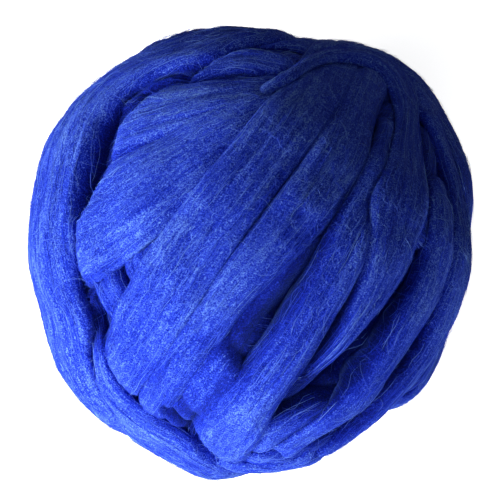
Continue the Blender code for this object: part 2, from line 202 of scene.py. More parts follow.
# Straps of the face, from the lowest to the last one wound.
FACE = (
    Strap("wedge", False, 7, 1.5, 1, 9, 3.4, (
        over(-80, 20, 10), over(-70, 4, 10), over(-61, -14, 10), over(-50, -34, 10))),
    Strap("hollow", False, -5, -5, 7, 9, 3.4, (
        over(26, 10, 15), over(12, -15, 16), over(-6, -40, 16), over(-24, -66, 14), over(-32, -78, 12))),
    Strap("hollow_cross", False, 2, 1.2, 0.3, 14, 2.0, (
        over(-24, -25, 11), over(-4, -33, 12), over(20, -43, 12))),
    Strap("foot_curl", False, 7, 1.5, 1, 9, 2.6, (
        over(-6, -84, 10), over(12, -78, 11), over(30, -71, 10), over(46, -66, 8), over(60, -56, 7))),
    Strap("crown_1", False, 7, 2, 1.2, 9, 3.4, (
        rim(130, 12, 12), over(-48, 73, 12), over(-28, 80, 12), over(-5, 83, 10), over(18, 79, 8),
        over(32, 75, 5))),
    Strap("fan_upper", False, 8, 2, 1, 9, 3.4, (
        rim(150, 14, 17), over(-68, 48, 18), over(-46, 58, 18), over(-20, 65, 13), over(6, 69, 10),
        over(24, 72, 8))),
    Strap("fan_lower", False, 8, 2, 1, 9, 3.4, (
        rim(184, 24, 22), over(-74, 6, 23), over(-50, 22, 22), over(-24, 40, 17), over(2, 56, 12),
        over(20, 64, 8))),
    Strap("shoulder", False, 9, 2.5, 1.3, 9, 2.8, (
        rim(96, 24, 5), rim(86, 20, 10), rim(76, 16, 15), rim(62, 11, 18), rim(46, 7, 19), rim(30, 3, 19),
        rim(10, 0, 19), rim(350, -1, 18), rim(330, -2, 16), rim(305, -5, 14))),
    Strap("right_3", False, 8, 2.5, 1.3, 9, 2.6, (
        over(-18, -88, 7), over(4, -90, 10), over(34, -85, 10), over(60, -72, 10), over(78, -50, 11),
        over(89, -22, 10), over(94, 5, 8), over(92, 30, 7))),
    Strap("right_2", False, 8, 2.5, 1.3, 9, 2.6, (
        over(80, 64, 6), over(87, 51, 7), over(91, 24, 8), over(91, 2, 9), over(87, -20, 10),
        over(80, -40, 10), over(68, -58, 9), over(54, -73, 8), over(35, -85, 7), over(17, -92, 6))),
    Strap("broad_right", False, 7, 1.6, 0.8, 9, 3.4, (
        over(60, 92, 9), over(49, 70, 11), over(37, 40, 13), over(15, 9, 13), over(-11, -20, 10.5),
        over(-28, -43, 11), over(-40, -62, 9), over(-48, -76, 8), over(-52, -84, 7))),
    Strap("broad_left", False, 7, 1.8, 0.9, 9, 3.4, (
        over(44, 94, 10), over(34, 82, 12), over(26, 68, 13), over(10, 46, 14), over(-15, 14, 15),
        over(-36, -16, 16), over(-51, -40, 15), over(-61, -56, 14), over(-67, -68, 14))),
    Strap("right_1", False, 8, 2.5, 1.4, 9, 2.6, (
        over(82, 34, 5), over(82, 19, 8), over(81, 2, 10), over(77, -14, 11), over(69, -30, 11),
        over(60, -46, 10), over(47, -62, 9), over(30, -76, 8), over(12, -86, 7))),
    Strap("bright", False, 9, 2.6, 1.4, 9, 3.2, (
        over(62, 58, 6), over(54, 28, 10), over(42, 4, 12), over(30, -19, 12), over(16, -43, 13),
        over(1, -62, 14), over(-10, -76, 15), over(-17, -87, 15))),
    Strap("arch", False, 9, 3.2, 1.6, 24, 2.8, (
        over(4, 66, 3), over(18, 75, 4), over(40, 84, 6), over(56, 81, 9), over(66, 69, 13),
        over(68, 54, 15), over(67, 37, 16.5), over(63, 20, 16.5), over(59, 2, 14.5), over(53, -14, 13),
        over(45, -28, 11), over(37, -40, 9), over(29, -50, 7), over(21, -59, 5))),
    Strap("belt", False, 9, 2, 1.3, 24, 2.4, (
        rim(346, -15, 4), rim(333, -10, 9), rim(317, -6, 13), rim(296, -3, 14), rim(275, -12, 15),
        rim(256, -26, 12))),
    Strap("foot", False, 8, 2, 1.3, 9, 2.2, (
        over(-30, -82, 6), over(-20, -89, 8), over(-6, -92, 8), over(12, -92, 8), over(30, -86, 7))),
    Strap("hem", False, 10, 3, 1.8, 9, 2.2, (
        rim(192, 42, 6), rim(200, 37, 9), rim(207, 33, 13), rim(218, 27, 19), rim(229, 24.5, 21),
        rim(238, 23.5, 21), rim(245, 21, 21), rim(251, 18, 20), rim(257, 10, 20), rim(264, 1, 19),
        rim(275, -8, 18), rim(290, -20, 17))),
    Strap("rope", True, 15, 7, 2.6, 9, 2.0, (
        rim(56, -26, 18), rim(66, -20, 19), rim(77, -8, 20), rim(88, 10, 21), rim(100, 17, 22),
        rim(112, 20, 24), rim(124, 18.5, 23), rim(135, 18, 23), rim(144, 20.5, 25), rim(153, 23, 27),
        rim(163, 25, 27), rim(176, 26, 27), rim(188, 27, 26), rim(195, 28, 25), rim(206, 23, 22),
        rim(213, 20, 20), rim(223, 16, 19), rim(233, 2, 18), rim(245, -14, 18), rim(258, -26, 18))),
    Strap("pit", False, 0, -6.5, 0, 8, 2.6, (
        over(51, -35, 4), over(47.5, -43, 7.5), over(43.5, -51, 8.5), over(39, -58.5, 5))),
    Strap("hem_gap", False, 0, -5, 0, 8, 2.6, (
        over(-38, -65, 2), over(-33.5, -69.6, 3), over(-28.5, -75, 3.4), over(-23, -80.9, 3.4),
        over(-18, -86.3, 3.4), over(-12.5, -90, 2.5))),
    Strap("rope_gap", False, 0, -8, 0, 18, 2.6, (
        over(-17, 82, 3.5), over(-30, 76, 5), over(-47, 66, 7), over(-58, 56.5, 9), over(-63, 45, 9.5),
        over(-66.5, 35, 8), over(-70, 25, 6), over(-73, 14, 4))),
)


# How a strap's fibres lie: their lean across it, and the locks that they part into.
Grain = namedtuple("Grain", "lean lock_mm lock_wide_mm lock_long_mm")
PLAIN_GRAIN = Grain(0.0, 0.8, 6.5, 70)
GRAINS = {
    "rope": Grain(0.12, 1.0, 7.5, 80),
    "hem": Grain(0.06, 1.2, 6.5, 90),
    "broad_left": Grain(0.0, 0.9, 8.0, 90),
    "broad_right": Grain(0.0, 0.9, 7.0, 80),
    "fan_lower": Grain(0.0, 0.9, 7.0, 90),
}


def spline(knots, values, at):
    """A smooth curve through the values, whose first and last two knots only guide its ends."""
    rise = np.diff(values) / np.diff(knots)
    gap = np.diff(knots)
    slope = (rise[:-1] * gap[1:] + rise[1:] * gap[:-1]) / (gap[1:] + gap[:-1])
    i = np.clip(np.searchsorted(knots, at, side="right") - 1, 1, len(knots) - 3)
    span = knots[i + 1] - knots[i]
    t = (at - knots[i]) / span
    start = (2 * t ** 3 - 3 * t ** 2 + 1) * values[i] + (t ** 3 - 2 * t ** 2 + t) * span * slope[i - 1]
    finish = (3 * t ** 2 - 2 * t ** 3) * values[i + 1] + (t ** 3 - t ** 2) * span * slope[i]
    return start + finish


def blurred(grid, sigma, axis, closed):
    """The grid softened along one axis, sigma counted in cells."""
    reach = max(1, int(np.ceil(3 * sigma)))
    weights = np.exp(-0.5 * (np.arange(-reach, reach + 1) / sigma) ** 2)
    weights = weights / weights.sum()
    pad = [(0, 0), (0, 0)]
    pad[axis] = (reach, reach)
    padded = np.pad(grid, pad, mode="wrap" if closed else "edge")
    result = np.zeros_like(grid)
    for k, weight in enumerate(weights):
        window = np.take(padded, np.arange(k, k + grid.shape[axis]), axis=axis)
        result += weight * window
    return result


class Wound:
    """One strap laid on the ball: a band that wanders either side of a circle round the ball."""

    def __init__(self, strap):
        self.strap = strap
        self.pinch = strap.thick_mm == 0
        rows = np.array(strap.stations)
        middles = rows[:, :3]
        halves = rows[:, 3] * MM / BALL_RADIUS
        if len(middles) == 3:
            axis = np.cross(middles[1] - middles[0], middles[2] - middles[1])
        else:
            axis = np.linalg.svd(middles - middles.mean(0))[2][-1]
        axis = unit(axis)
        if axis @ np.cross(middles[:-1], middles[1:]).sum(0) < 0:
            axis = -axis
        self.axis = axis
        self.opening = np.arccos(np.clip((middles @ axis).mean(), -NARROWEST_CONE, NARROWEST_CONE))
        self.start = unit(middles[0] - axis * (middles[0] @ axis))
        self.side = np.cross(axis, self.start)
        turns = np.arctan2(middles @ self.side, middles @ self.start)
        turns[0] = 0
        for k in range(1, len(turns)):
            turns[k] += FULL_TURN * np.ceil((turns[k - 1] - 1 - turns[k]) / FULL_TURN)
        sways = np.arccos(np.clip(middles @ axis, -1, 1)) - self.opening
        self.guide(turns, sways, halves)
        self.reach = BALL_RADIUS * np.sin(self.opening)
        self.weave = COARSE if strap.name in COARSE_STRAPS else FINE
        self.grain = GRAINS.get(strap.name, PLAIN_GRAIN)
        self.cells = max(LEAST_CELLS, int((self.last - self.first) * self.reach / (self.weave.cell_mm * MM)))
        self.band = np.abs(self.sways).max() + WIDEST * self.halves.max() + 3 * GROOVE_WIDTH / BALL_RADIUS
        self.tops = None
        self.beneath = None

    def guide(self, turns, sways, halves):
        """Keep the stations with the guiding knots past each end."""
        if self.strap.closed:
            far = (turns[-1] + turns[0] + FULL_TURN) / 2
            turns = np.append(turns, far)
            sways = np.append(sways, 0)
            halves = np.append(halves, halves.mean())
            self.first, self.last = 0, FULL_TURN
            self.knots = np.concatenate([turns[-2:] - FULL_TURN, turns, turns[:2] + FULL_TURN])
            self.sways = np.concatenate([sways[-2:], sways, sways[:2]])
            self.halves = np.concatenate([halves[-2:], halves, halves[:2]])
            return
        self.first, self.last = turns[0], turns[-1]
        lead = (turns[1] - turns[0]) * np.array([2, 1])
        trail = (turns[-1] - turns[-2]) * np.array([1, 2])
        self.knots = np.concatenate([turns[0] - lead, turns, turns[-1] + trail])
        self.sways = np.concatenate([[2 * sways[0] - sways[1]] * 2, sways, [2 * sways[-1] - sways[-2]] * 2])
        self.halves = np.concatenate([[halves[0]] * 2, halves, [halves[-1]] * 2])

    def middle(self, turn):
        """The angle from the axis to the strap's middle."""
        return self.opening + spline(self.knots, self.sways, turn)

    def half(self, turn):
        """The strap's half width as an angle."""
        return spline(self.knots, self.halves, turn)

    def place(self, turn, across):
        """The unit direction at a turn and a share of the half width across."""
        angle = (self.middle(turn) + across * self.half(turn))[..., None]
        outward = np.cos(turn)[..., None] * self.start + np.sin(turn)[..., None] * self.side
        return np.cos(angle) * self.axis + np.sin(angle) * outward

    def body(self, turn):
        """How full the strap is: one along it, running to nothing at an open end."""
        if self.strap.closed:
            return np.ones(turn.shape)
        inside = np.minimum(turn - self.first, self.last - turn) * self.reach / (self.strap.taper_mm * MM)
        return np.sqrt(1 - (1 - np.clip(inside, 0, 1)) ** 2)

    def find(self, places):
        """The places by this strap: which they are, their turn, share across and distance past its edge."""
        lean = np.arccos(np.clip(places @ self.axis, -1, 1))
        near = np.nonzero(np.abs(lean - self.opening) < self.band)[0]
        centre = (self.first + self.last) / 2
        turn = np.arctan2(places[near] @ self.side, places[near] @ self.start)
        turn = (turn - centre + np.pi) % FULL_TURN - np.pi + centre
        kept = (turn >= self.first) & (turn <= self.last)
        near, turn = near[kept], turn[kept]
        offset = lean[near] - self.middle(turn)
        half = self.half(turn)
        beyond = np.clip(np.abs(offset) - half, 0, None) * BALL_RADIUS
        return near, turn, offset / half, beyond

    def dent(self, turn, across, beyond):
        """How far this strap presses in what lies beneath it; a pinch is all dent."""
        if self.pinch:
            section = np.clip(1 - np.abs(across) ** self.strap.square, 0, 1) ** PINCH_ROUND
            return -self.strap.rise_mm * MM * self.body(turn) * section
        return self.strap.press_mm * MM * self.body(turn) * np.exp(-(beyond / GROOVE_WIDTH) ** 2)

    def read(self, grid, turn, across):
        """One of the strap's grids at a turn and a share across."""
        along = (turn - self.first) / (self.last - self.first) * self.cells
        return bilinear(grid, along, (across + 1) / 2 * (self.weave.rows - 1))

    def lay_on(self, places, heights):
        """The heights at the places once this strap lies on them, and where it is what shows."""
        heights = heights.copy()
        shows = np.zeros(len(heights), bool)
        near, turn, across, beyond = self.find(places)
        if not len(near):
            return heights, shows
        level = heights[near] - self.dent(turn, across, beyond)
        if self.pinch:
            heights[near] = level
            return heights, shows
        covered = np.abs(across) < 1
        tops = np.full(len(near), -1.0)
        tops[covered] = self.read(self.tops, turn[covered], across[covered])
        shows[near] = tops > level
        heights[near] = np.maximum(level, tops)
        return heights, shows

    def softened(self, grid, along, across):
        """A grid of the strap softened by the given reaches along and across it."""
        turns = np.linspace(self.first, self.last, self.cells + 1)
        along_cells = along / ((self.last - self.first) * self.reach / self.cells)
        across_cells = across / (2 * self.half(turns).mean() * BALL_RADIUS / (grid.shape[1] - 1))
        if self.strap.closed:
            soft = blurred(grid[:-1], along_cells, 0, True)
            soft = np.concatenate([soft, soft[:1]])
        else:
            soft = blurred(grid, along_cells, 0, False)
        return blurred(soft, across_cells, 1, False)


def bilinear(grid, along, row):
    """The grid read between its points."""
    i = np.clip(np.floor(along).astype(int), 0, grid.shape[0] - 2)
    j = np.clip(np.floor(row).astype(int), 0, grid.shape[1] - 2)
    u = along - i
    v = row - j
    near = grid[i, j] * (1 - v) + grid[i, j + 1] * v
    far = grid[i + 1, j] * (1 - v) + grid[i + 1, j + 1] * v
    return near * (1 - u) + far * u


def surface(places, wound):
    """The height over the core at each place, with all the wound straps on it."""
    heights = swell_height(places)
    for strap in wound:
        heights, _ = strap.lay_on(places, heights)
    return heights


def drape(strap, wound):
    """Wind one more strap: it bridges what lies beneath, packs down and rounds off at its edges."""
    lay = Wound(strap)
    if lay.pinch:
        return lay
    turns = np.linspace(lay.first, lay.last, lay.cells + 1)
    turn, across = np.meshgrid(turns, np.linspace(-1, 1, lay.weave.rows), indexing="ij")
    places = lay.place(turn, across).reshape(-1, 3)
    beneath = surface(places, wound).reshape(turn.shape)
    allowed = open_level(places).reshape(turn.shape)
    bridged = lay.softened(beneath, SAG_ALONG, SAG_ACROSS)
    cushion = lay.softened(beneath, max(CUSHION, STIFFNESS * strap.rise_mm * MM), CUSHION)
    full = bridged + strap.thick_mm * MM
    packed = full - PACKING * np.clip(full - allowed, 0, None)
    crowded = np.exp(-np.clip(cushion - allowed, 0, None) / CROWDING)
    least = cushion + strap.rise_mm * MM * crowded
    crown = 0.5 * (packed + least + np.sqrt((packed - least) ** 2 + EDGE_BLEND ** 2))
    section = np.clip(1 - np.abs(across) ** strap.square, 0, 1) ** EDGE_ROUND
    edge = cushion - strap.press_mm * MM
    tops = edge + (crown - edge) * section
    body = lay.body(turns)[:, None]
    lay.tops = body * tops + (1 - body) * (beneath - strap.press_mm * MM)
    lay.beneath = beneath
    return lay


def wind():
    """All the straps, wound in order."""
    wound = []
    for strap in RINGS + FACE:
        wound.append(drape(strap, wound))
    return wound


WOUND = []


def wound_straps():
    """The wound straps, worked out once for all the pieces."""
    if not WOUND:
        WOUND.extend(wind())
    return WOUND



# Splits and strands in a strap: how wide and how round a split is, and how high a strand stands and its
# cell's length and width in millimetres.
SPLIT_SHARE = 0.35
SPLIT_ROUND = 1.5
SPLIT_SEED = 10
STRAND_MM = 0.28
STRAND_CELL = (22, 2.0)
STRAND_SEED = 60
NOISE_CELLS = 128


def smooth_noise(seed, x, y, period):
    """Smooth noise from -1 to 1, one lattice cell to a unit, that comes round after a period along x."""
    lattice = np.random.default_rng(seed).uniform(-1, 1, (NOISE_CELLS, NOISE_CELLS))
    i = np.floor(x).astype(int)
    j = np.floor(y).astype(int)
    u = x - i
    v = y - j
    u = u * u * (3 - 2 * u)
    v = v * v * (3 - 2 * v)
    near, far = i % period % NOISE_CELLS, (i + 1) % period % NOISE_CELLS
    low, high = j % NOISE_CELLS, (j + 1) % NOISE_CELLS
    first = lattice[near, low] * (1 - v) + lattice[near, high] * v
    second = lattice[far, low] * (1 - v) + lattice[far, high] * v
    return first * (1 - u) + second * u


def grain_place(lay, turn, across):
    """Where a point of a strap lies along and across its fibres, in metres."""
    along = (turn - lay.first) * lay.reach
    return along, across * lay.half(turn) * BALL_RADIUS + lay.grain.lean * along


def grain_noise(seed, along, over_grain, cell_mm, round_mm):
    """Smooth noise drawn out along a strap's fibres, whose cells fit a whole number of times round it."""
    long_mm, wide_mm = cell_mm
    period = max(1, int(round_mm / long_mm))
    return smooth_noise(seed, along / MM * period / round_mm, over_grain / MM / wide_mm, period)


def locks(order, turn, across):
    """The low relief of a strap: splits between its locks, and the strands in them."""
    lay = wound_straps()[order]
    grain = lay.grain
    along, over_grain = grain_place(lay, turn, across)
    round_mm = FULL_TURN * lay.reach / MM if lay.strap.closed else NOISE_CELLS * grain.lock_long_mm
    lock_cell = (grain.lock_long_mm, grain.lock_wide_mm)
    split = np.abs(grain_noise(SPLIT_SEED + order, along, over_grain, lock_cell, round_mm))
    relief = -grain.lock_mm * MM * np.clip(1 - split / SPLIT_SHARE, 0, 1) ** SPLIT_ROUND
    relief += STRAND_MM * MM * grain_noise(STRAND_SEED + order, along, over_grain, STRAND_CELL, round_mm)
    return relief * np.clip(3 * (1 - across ** 2), 0, 1)


def pressed(order, places):
    """How far the straps wound after this one press it down at the places."""
    depth = np.zeros(len(places))
    for later in wound_straps()[order + 1:]:
        near, turn, across, beyond = later.find(places)
        depth[near] += later.dent(turn, across, beyond)
    return depth


def shown_heights(order, turn, across):
    """The directions and the heights over the core of a strap's top, as it shows."""
    lay = wound_straps()[order]
    places = lay.place(turn, across)
    heights = lay.read(lay.tops, turn, across) + locks(order, turn, across)
    return places, heights - pressed(order, places)


def rest_shift():
    """What centres the ball over its flat spot, as the solid is centred."""
    angles = (np.arange(REST_TURNS) + 0.5) * FULL_TURN / REST_TURNS
    band = [direction(turn, lift) for turn in np.degrees(angles) for lift in REST_LIFTS]
    points = settled(np.array(band) * (CORE_RADIUS + surface(np.array(band), wound_straps()))[:, None])
    middle = (points.min(0) + points.max(0)) / 2
    return np.array([-middle[0], -middle[1], FLAT_DEPTH - SAG / 2])


def settled(points):
    """The ball sinks a little onto its flat spot."""
    points = points.copy()
    above = points[:, 2] + FLAT_DEPTH
    points[:, 2] = 0.5 * (above + np.sqrt(above ** 2 + SAG ** 2)) - FLAT_DEPTH
    return points


def at_rest(places, heights, lowest):
    """Points of the resting ball, none lower than the given height over what it rests on."""
    points = settled(places * (CORE_RADIUS + heights)[:, None]) + REST["shift"]
    points[:, 2] = np.maximum(points[:, 2], lowest)
    return points


# How the resting ball is shifted, worked out once before the pieces are made.
REST = {}


class RovingSettings(bpy.types.PropertyGroup):
    """What a user may change on the ball and its stage."""

    edge_thick: FloatProperty(
        name="Edge thickness", description="How thick a strap is where its edge bridges a hollow",
        default=3.2 * MM, min=0.5 * MM, max=8 * MM, unit="LENGTH", subtype="DISTANCE")
    fibres: IntProperty(
        name="Fibres a layer", description="How many fibres lie along the straps in each layer",
        default=4300, min=10, max=5000)
    fibre_long: FloatProperty(
        name="Fibre length", description="The middle length of a fibre that shows",
        default=18 * MM, min=5 * MM, max=60 * MM, unit="LENGTH", subtype="DISTANCE")
    fibre_thick: FloatProperty(
        name="Fibre thickness", description="The thickness of a bundle of fibres",
        default=0.17 * MM, min=0.05 * MM, max=0.6 * MM, unit="LENGTH", subtype="DISTANCE")
    strays: IntProperty(
        name="Stray fibres", description="How many fibres in each piece curl loose over the straps",
        default=4700, min=10, max=6000)
    stray_thick: FloatProperty(
        name="Stray thickness", description="The thickness of a stray fibre",
        default=0.11 * MM, min=0.05 * MM, max=0.4 * MM, unit="LENGTH", subtype="DISTANCE")
    deep: FloatVectorProperty(
        name="Deep blue", description="The wool between its strands", subtype="COLOR", size=3,
        default=(0.005, 0.015, 0.350), min=0, max=1)
    # Painted shade: the colour that wool deep in the gaps is darkened to.
    shadow: FloatVectorProperty(
        name="Painted shade blue", description="The wool down in the gaps", subtype="COLOR", size=3,
        default=(0.003, 0.008, 0.100), min=0, max=1)
    mid: FloatVectorProperty(
        name="Wool blue", description="The wool's main colour", subtype="COLOR", size=3,
        default=(0.020, 0.056, 0.720), min=0, max=1)
    light: FloatVectorProperty(
        name="Light blue", description="The wool's lightest strands", subtype="COLOR", size=3,
        default=(0.210, 0.400, 0.900), min=0, max=1)
    floor_tint: FloatVectorProperty(
        name="Floor", description="The floor's colour", subtype="COLOR", size=3,
        default=(0.93, 0.93, 0.94), min=0, max=1)
    camera_away: FloatProperty(
        name="Camera distance", description="From the camera to the middle of the ball",
        default=1.25, min=0.4, max=4, unit="LENGTH", subtype="DISTANCE")
    key_power: FloatProperty(
        name="Key light", description="The power of the large soft light, in watts",
        default=36, min=0, max=200)
    low_power: FloatProperty(
        name="Low light", description="The power of the light low at the front, in watts",
        default=15, min=0, max=100)
    fill_power: FloatProperty(
        name="Fill light", description="The power of the weak light overhead, in watts",
        default=2.5, min=0, max=100)
    room_light: FloatProperty(
        name="Room light", description="The strength of the light from all round",
        default=0.09, min=0, max=2)


def link(tree, source, target):
    """Join two sockets."""
    tree.links.new(source, target)


def math_node(tree, operation, first, second):
    """A math node of two values or sockets."""
    node = tree.nodes.new("ShaderNodeMath")
    node.operation = operation
    for socket, value in zip(node.inputs, (first, second)):
        if isinstance(value, (int, float)):
            socket.default_value = value
        else:
            link(tree, value, socket)
    return node.outputs[0]


def vector_node(tree, operation, first, second):
    """A vector math node of a vector with another one, or with the number that scales it."""
    node = tree.nodes.new("ShaderNodeVectorMath")
    node.operation = operation
    link(tree, first, node.inputs[0])
    other = node.inputs["Scale"] if operation == "SCALE" else node.inputs[1]
    if isinstance(second, tuple):
        other.default_value = second
    else:
        link(tree, second, other)
    return node.outputs[0]


def noise_node(tree, vector, scale, detail=2.0, roughness=0.5):
    """A noise texture that reads the given vector."""
    noise = tree.nodes.new("ShaderNodeTexNoise")
    noise.inputs["Scale"].default_value = scale
    noise.inputs["Detail"].default_value = detail
    noise.inputs["Roughness"].default_value = roughness
    link(tree, vector, noise.inputs["Vector"])
    return noise


def streak_noise(tree, vector, long_socket, wide_socket, detail, roughness=0.6, distortion=0.25):
    """Noise drawn out along the fibres: its cells are as long and as wide as the sockets say."""
    apart = tree.nodes.new("ShaderNodeSeparateXYZ")
    link(tree, vector, apart.inputs[0])
    joined = tree.nodes.new("ShaderNodeCombineXYZ")
    link(tree, math_node(tree, "DIVIDE", apart.outputs[0], long_socket), joined.inputs[0])
    link(tree, math_node(tree, "DIVIDE", apart.outputs[1], wide_socket), joined.inputs[1])
    noise = noise_node(tree, joined.outputs[0], 1.0, detail, roughness)
    noise.noise_dimensions = "2D"
    noise.inputs["Distortion"].default_value = distortion
    return noise.outputs["Fac"]


HAIR_SHARP = 34.0
HAIR_NOISE = {"detail": 2.0, "roughness": 0.5, "distortion": 1.2}


def hair_lines(group, given, size, stretch):
    """Thin bright lines where single hairs cross the wool: the ridges of a wandering noise."""
    wide = math_node(group, "MULTIPLY", given["Hair spacing"], size)
    long = math_node(group, "MULTIPLY", wide, stretch)
    noise = streak_noise(group, given["Grain"], long, wide, **HAIR_NOISE)
    away = math_node(group, "ABSOLUTE", math_node(group, "SUBTRACT", noise, 0.5), 0.0)
    fall = math_node(group, "MULTIPLY", away, HAIR_SHARP)
    return math_node(group, "MAXIMUM", math_node(group, "SUBTRACT", 1.0, fall), 0.0)


# How much each kind of variation adds to the wool's shade and to its height.
Mix = namedtuple("Mix", "lock fibre fuzz frizz hairs")
SHADE_MIX = Mix(0.22, 0.24, 0.22, 1.10, 0.10)
HEIGHT_MIX = Mix(0.5, 0.6, 0.6, 1.6, 0.25)
FRIZZ_MIDDLE = 0.37


def mixed(tree, parts, weights):
    """The parts added up, each by its own weight."""
    total = 0.0
    for part, weight in zip(parts, weights):
        total = math_node(tree, "ADD", math_node(tree, "MULTIPLY", part, weight), total)
    return total


# What the fibres' node group takes in, and the size of the curls that its streaks wander by.
FIBRE_INPUTS = {
    "Lock length": 45 * MM,
    "Lock width": 3.0 * MM,
    "Fibre length": 6 * MM,
    "Fibre width": 0.5 * MM,
    "Fuzz length": 1.4 * MM,
    "Fuzz width": 0.45 * MM,
    "Wander": 4.0 * MM,
    "Frizz": 0.6 * MM,
    "Hair spacing": 5.0 * MM,
}
STREAK_DETAIL = {"Lock": 1.0, "Fibre": 3.0, "Fuzz": 3.0}
CURL_SIZE = 7 * MM


def fibre_group():
    """Matted fibres: a shade and a height that vary over the wool."""
    group = bpy.data.node_groups.get("wool fibres")
    if group:
        return group
    group = bpy.data.node_groups.new("wool fibres", "ShaderNodeTree")
    for name in ("Grain", "Place"):
        group.interface.new_socket(name=name, in_out="INPUT", socket_type="NodeSocketVector")
    for name, value in FIBRE_INPUTS.items():
        socket = group.interface.new_socket(name=name, in_out="INPUT", socket_type="NodeSocketFloat")
        socket.default_value = value
    for name in ("Shade", "Height"):
        group.interface.new_socket(name=name, in_out="OUTPUT", socket_type="NodeSocketFloat")
    given = group.nodes.new("NodeGroupInput").outputs
    out = group.nodes.new("NodeGroupOutput").inputs
    curls = noise_node(group, given["Place"], 1 / CURL_SIZE)
    centred = vector_node(group, "SUBTRACT", curls.outputs["Color"], (0.5, 0.5, 0.5))
    aside = vector_node(group, "SCALE", centred, given["Wander"])
    grain = vector_node(group, "ADD", given["Grain"], aside)
    streaks = [streak_noise(group, grain, given[kind + " length"], given[kind + " width"], detail)
               for kind, detail in STREAK_DETAIL.items()]
    speck = vector_node(group, "SCALE", given["Place"], math_node(group, "DIVIDE", 1.0, given["Frizz"]))
    frizz = noise_node(group, speck, 1.0, detail=3.0, roughness=0.7)
    grainy = math_node(group, "SUBTRACT", frizz.outputs["Fac"], FRIZZ_MIDDLE)
    hairs = math_node(group, "ADD", hair_lines(group, given, 1.0, 3.0), hair_lines(group, given, 0.7, 1.0))
    parts = Mix(*streaks, grainy, hairs)
    link(group, mixed(group, parts, SHADE_MIX), out["Shade"])
    link(group, mixed(group, parts, HEIGHT_MIX), out["Height"])
    return group


def ramp(tree, factor, stops):
    """A colour ramp through (place, colour) stops."""
    node = tree.nodes.new("ShaderNodeValToRGB")
    elements = node.color_ramp.elements
    while len(elements) < len(stops):
        elements.new(0.5)
    for element, (place, colour) in zip(elements, stops):
        element.position = place
        element.color = (*colour, 1.0)
    link(tree, factor, node.inputs["Fac"])
    return node.outputs["Color"]


# Wool is matt, with a soft sheen at grazing angles.
WOOL_FINISH = {
    "Roughness": 0.82,
    "Specular IOR Level": 0.04,
    "Sheen Weight": 0.46,
    "Sheen Roughness": 0.30,
    "Sheen Tint": (0.13, 0.27, 1.0, 1.0),
}
DRIFT = 0.22
DRIFT_SIZE = 38 * MM
# How far the painted shade darkens the wool that lies deep in gaps.
PAINTED_GAP_SHADE = 0.36


def soft_material(name):
    """A new material with the finish of wool, and its nodes and its shader's inputs."""
    material = bpy.data.materials.new(name)
    material.use_nodes = True
    tree = material.node_tree
    sockets = tree.nodes["Principled BSDF"].inputs
    for socket, value in WOOL_FINISH.items():
        sockets[socket].default_value = value
    return material, tree, sockets


def attribute(tree, name):
    """A number kept on the mesh under the given name."""
    node = tree.nodes.new("ShaderNodeAttribute")
    node.attribute_name = name
    return node.outputs["Fac"]


def wool_material(settings):
    """Blue wool whose fibres run along each strap."""
    name = "blue wool"
    if name in bpy.data.materials:
        return bpy.data.materials[name]
    material, tree, sockets = soft_material(name)
    grain = tree.nodes.new("ShaderNodeUVMap")
    grain.uv_map = "grain"
    fibres = tree.nodes.new("ShaderNodeGroup")
    fibres.node_tree = fibre_group()
    place = tree.nodes.new("ShaderNodeTexCoord").outputs["Object"]
    link(tree, grain.outputs["UV"], fibres.inputs["Grain"])
    link(tree, place, fibres.inputs["Place"])
    cloud = noise_node(tree, place, 1 / DRIFT_SIZE)
    drift = math_node(tree, "MULTIPLY", math_node(tree, "SUBTRACT", cloud.outputs["Fac"], 0.5), DRIFT)
    # Painted shade: the wool is darkened where it lies deep in a gap, down towards the shadow blue.
    painted_gap_shade = math_node(tree, "MULTIPLY", attribute(tree, "painted_gap_shade"), PAINTED_GAP_SHADE)
    shade = math_node(tree, "SUBTRACT", math_node(tree, "ADD", fibres.outputs["Shade"], drift), painted_gap_shade)
    colour = ramp(tree, shade, (
        (0.10, settings.shadow), (0.34, settings.deep), (0.52, settings.mid), (0.72, settings.light)))
    link(tree, colour, sockets["Base Color"])
    bump = tree.nodes.new("ShaderNodeBump")
    bump.inputs["Strength"].default_value = 0.9
    bump.inputs["Distance"].default_value = 0.5 * MM
    link(tree, fibres.outputs["Height"], bump.inputs["Height"])
    link(tree, bump.outputs["Normal"], sockets["Normal"])
    return material


def fibre_material(settings):
    """The same wool on its separate fibres, each with its own tone."""
    name = "blue wool fibre"
    if name in bpy.data.materials:
        return bpy.data.materials[name]
    material, tree, sockets = soft_material(name)
    colour = ramp(tree, attribute(tree, "tone"), (
        (0.0, settings.deep), (0.55, settings.mid), (1.0, settings.light)))
    link(tree, colour, sockets["Base Color"])
    return material


def placed(name, data):
    """A new object of the scene, holding the given data."""
    thing = bpy.data.objects.new(name, data)
    bpy.context.scene.collection.objects.link(thing)
    return thing


def mesh_data(mesh, name):
    """A finished bmesh kept as mesh data."""
    data = bpy.data.meshes.new(name)
    mesh.to_mesh(data)
    mesh.free()
    return data


def finish_piece(mesh, name, material):
    """A mesh made a piece of the ball that rides on its body."""
    mesh.name = name
    mesh.materials.append(material)
    mesh.shade_smooth()
    piece = placed(name, mesh)
    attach(piece, BODY)
    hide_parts(CAD_NODE)


# A strap's washer before it is draped: its middle radius.  How far apart the straps' grain maps lie, how deep
# the undersides sink, how far they lie over the floor, the gap between one strap and the next there, and how
# much thinner a strap is at its edges.
SPREAD = 3.0
GRAIN_APART = 0.1
UNDER_SINK = 1.0 * MM
UNDER_DEPTHS = 2.5
UNDER_LIFT = 0.4 * MM
LAYER_GAP = 0.02 * MM
EDGE_THINNING = 0.5


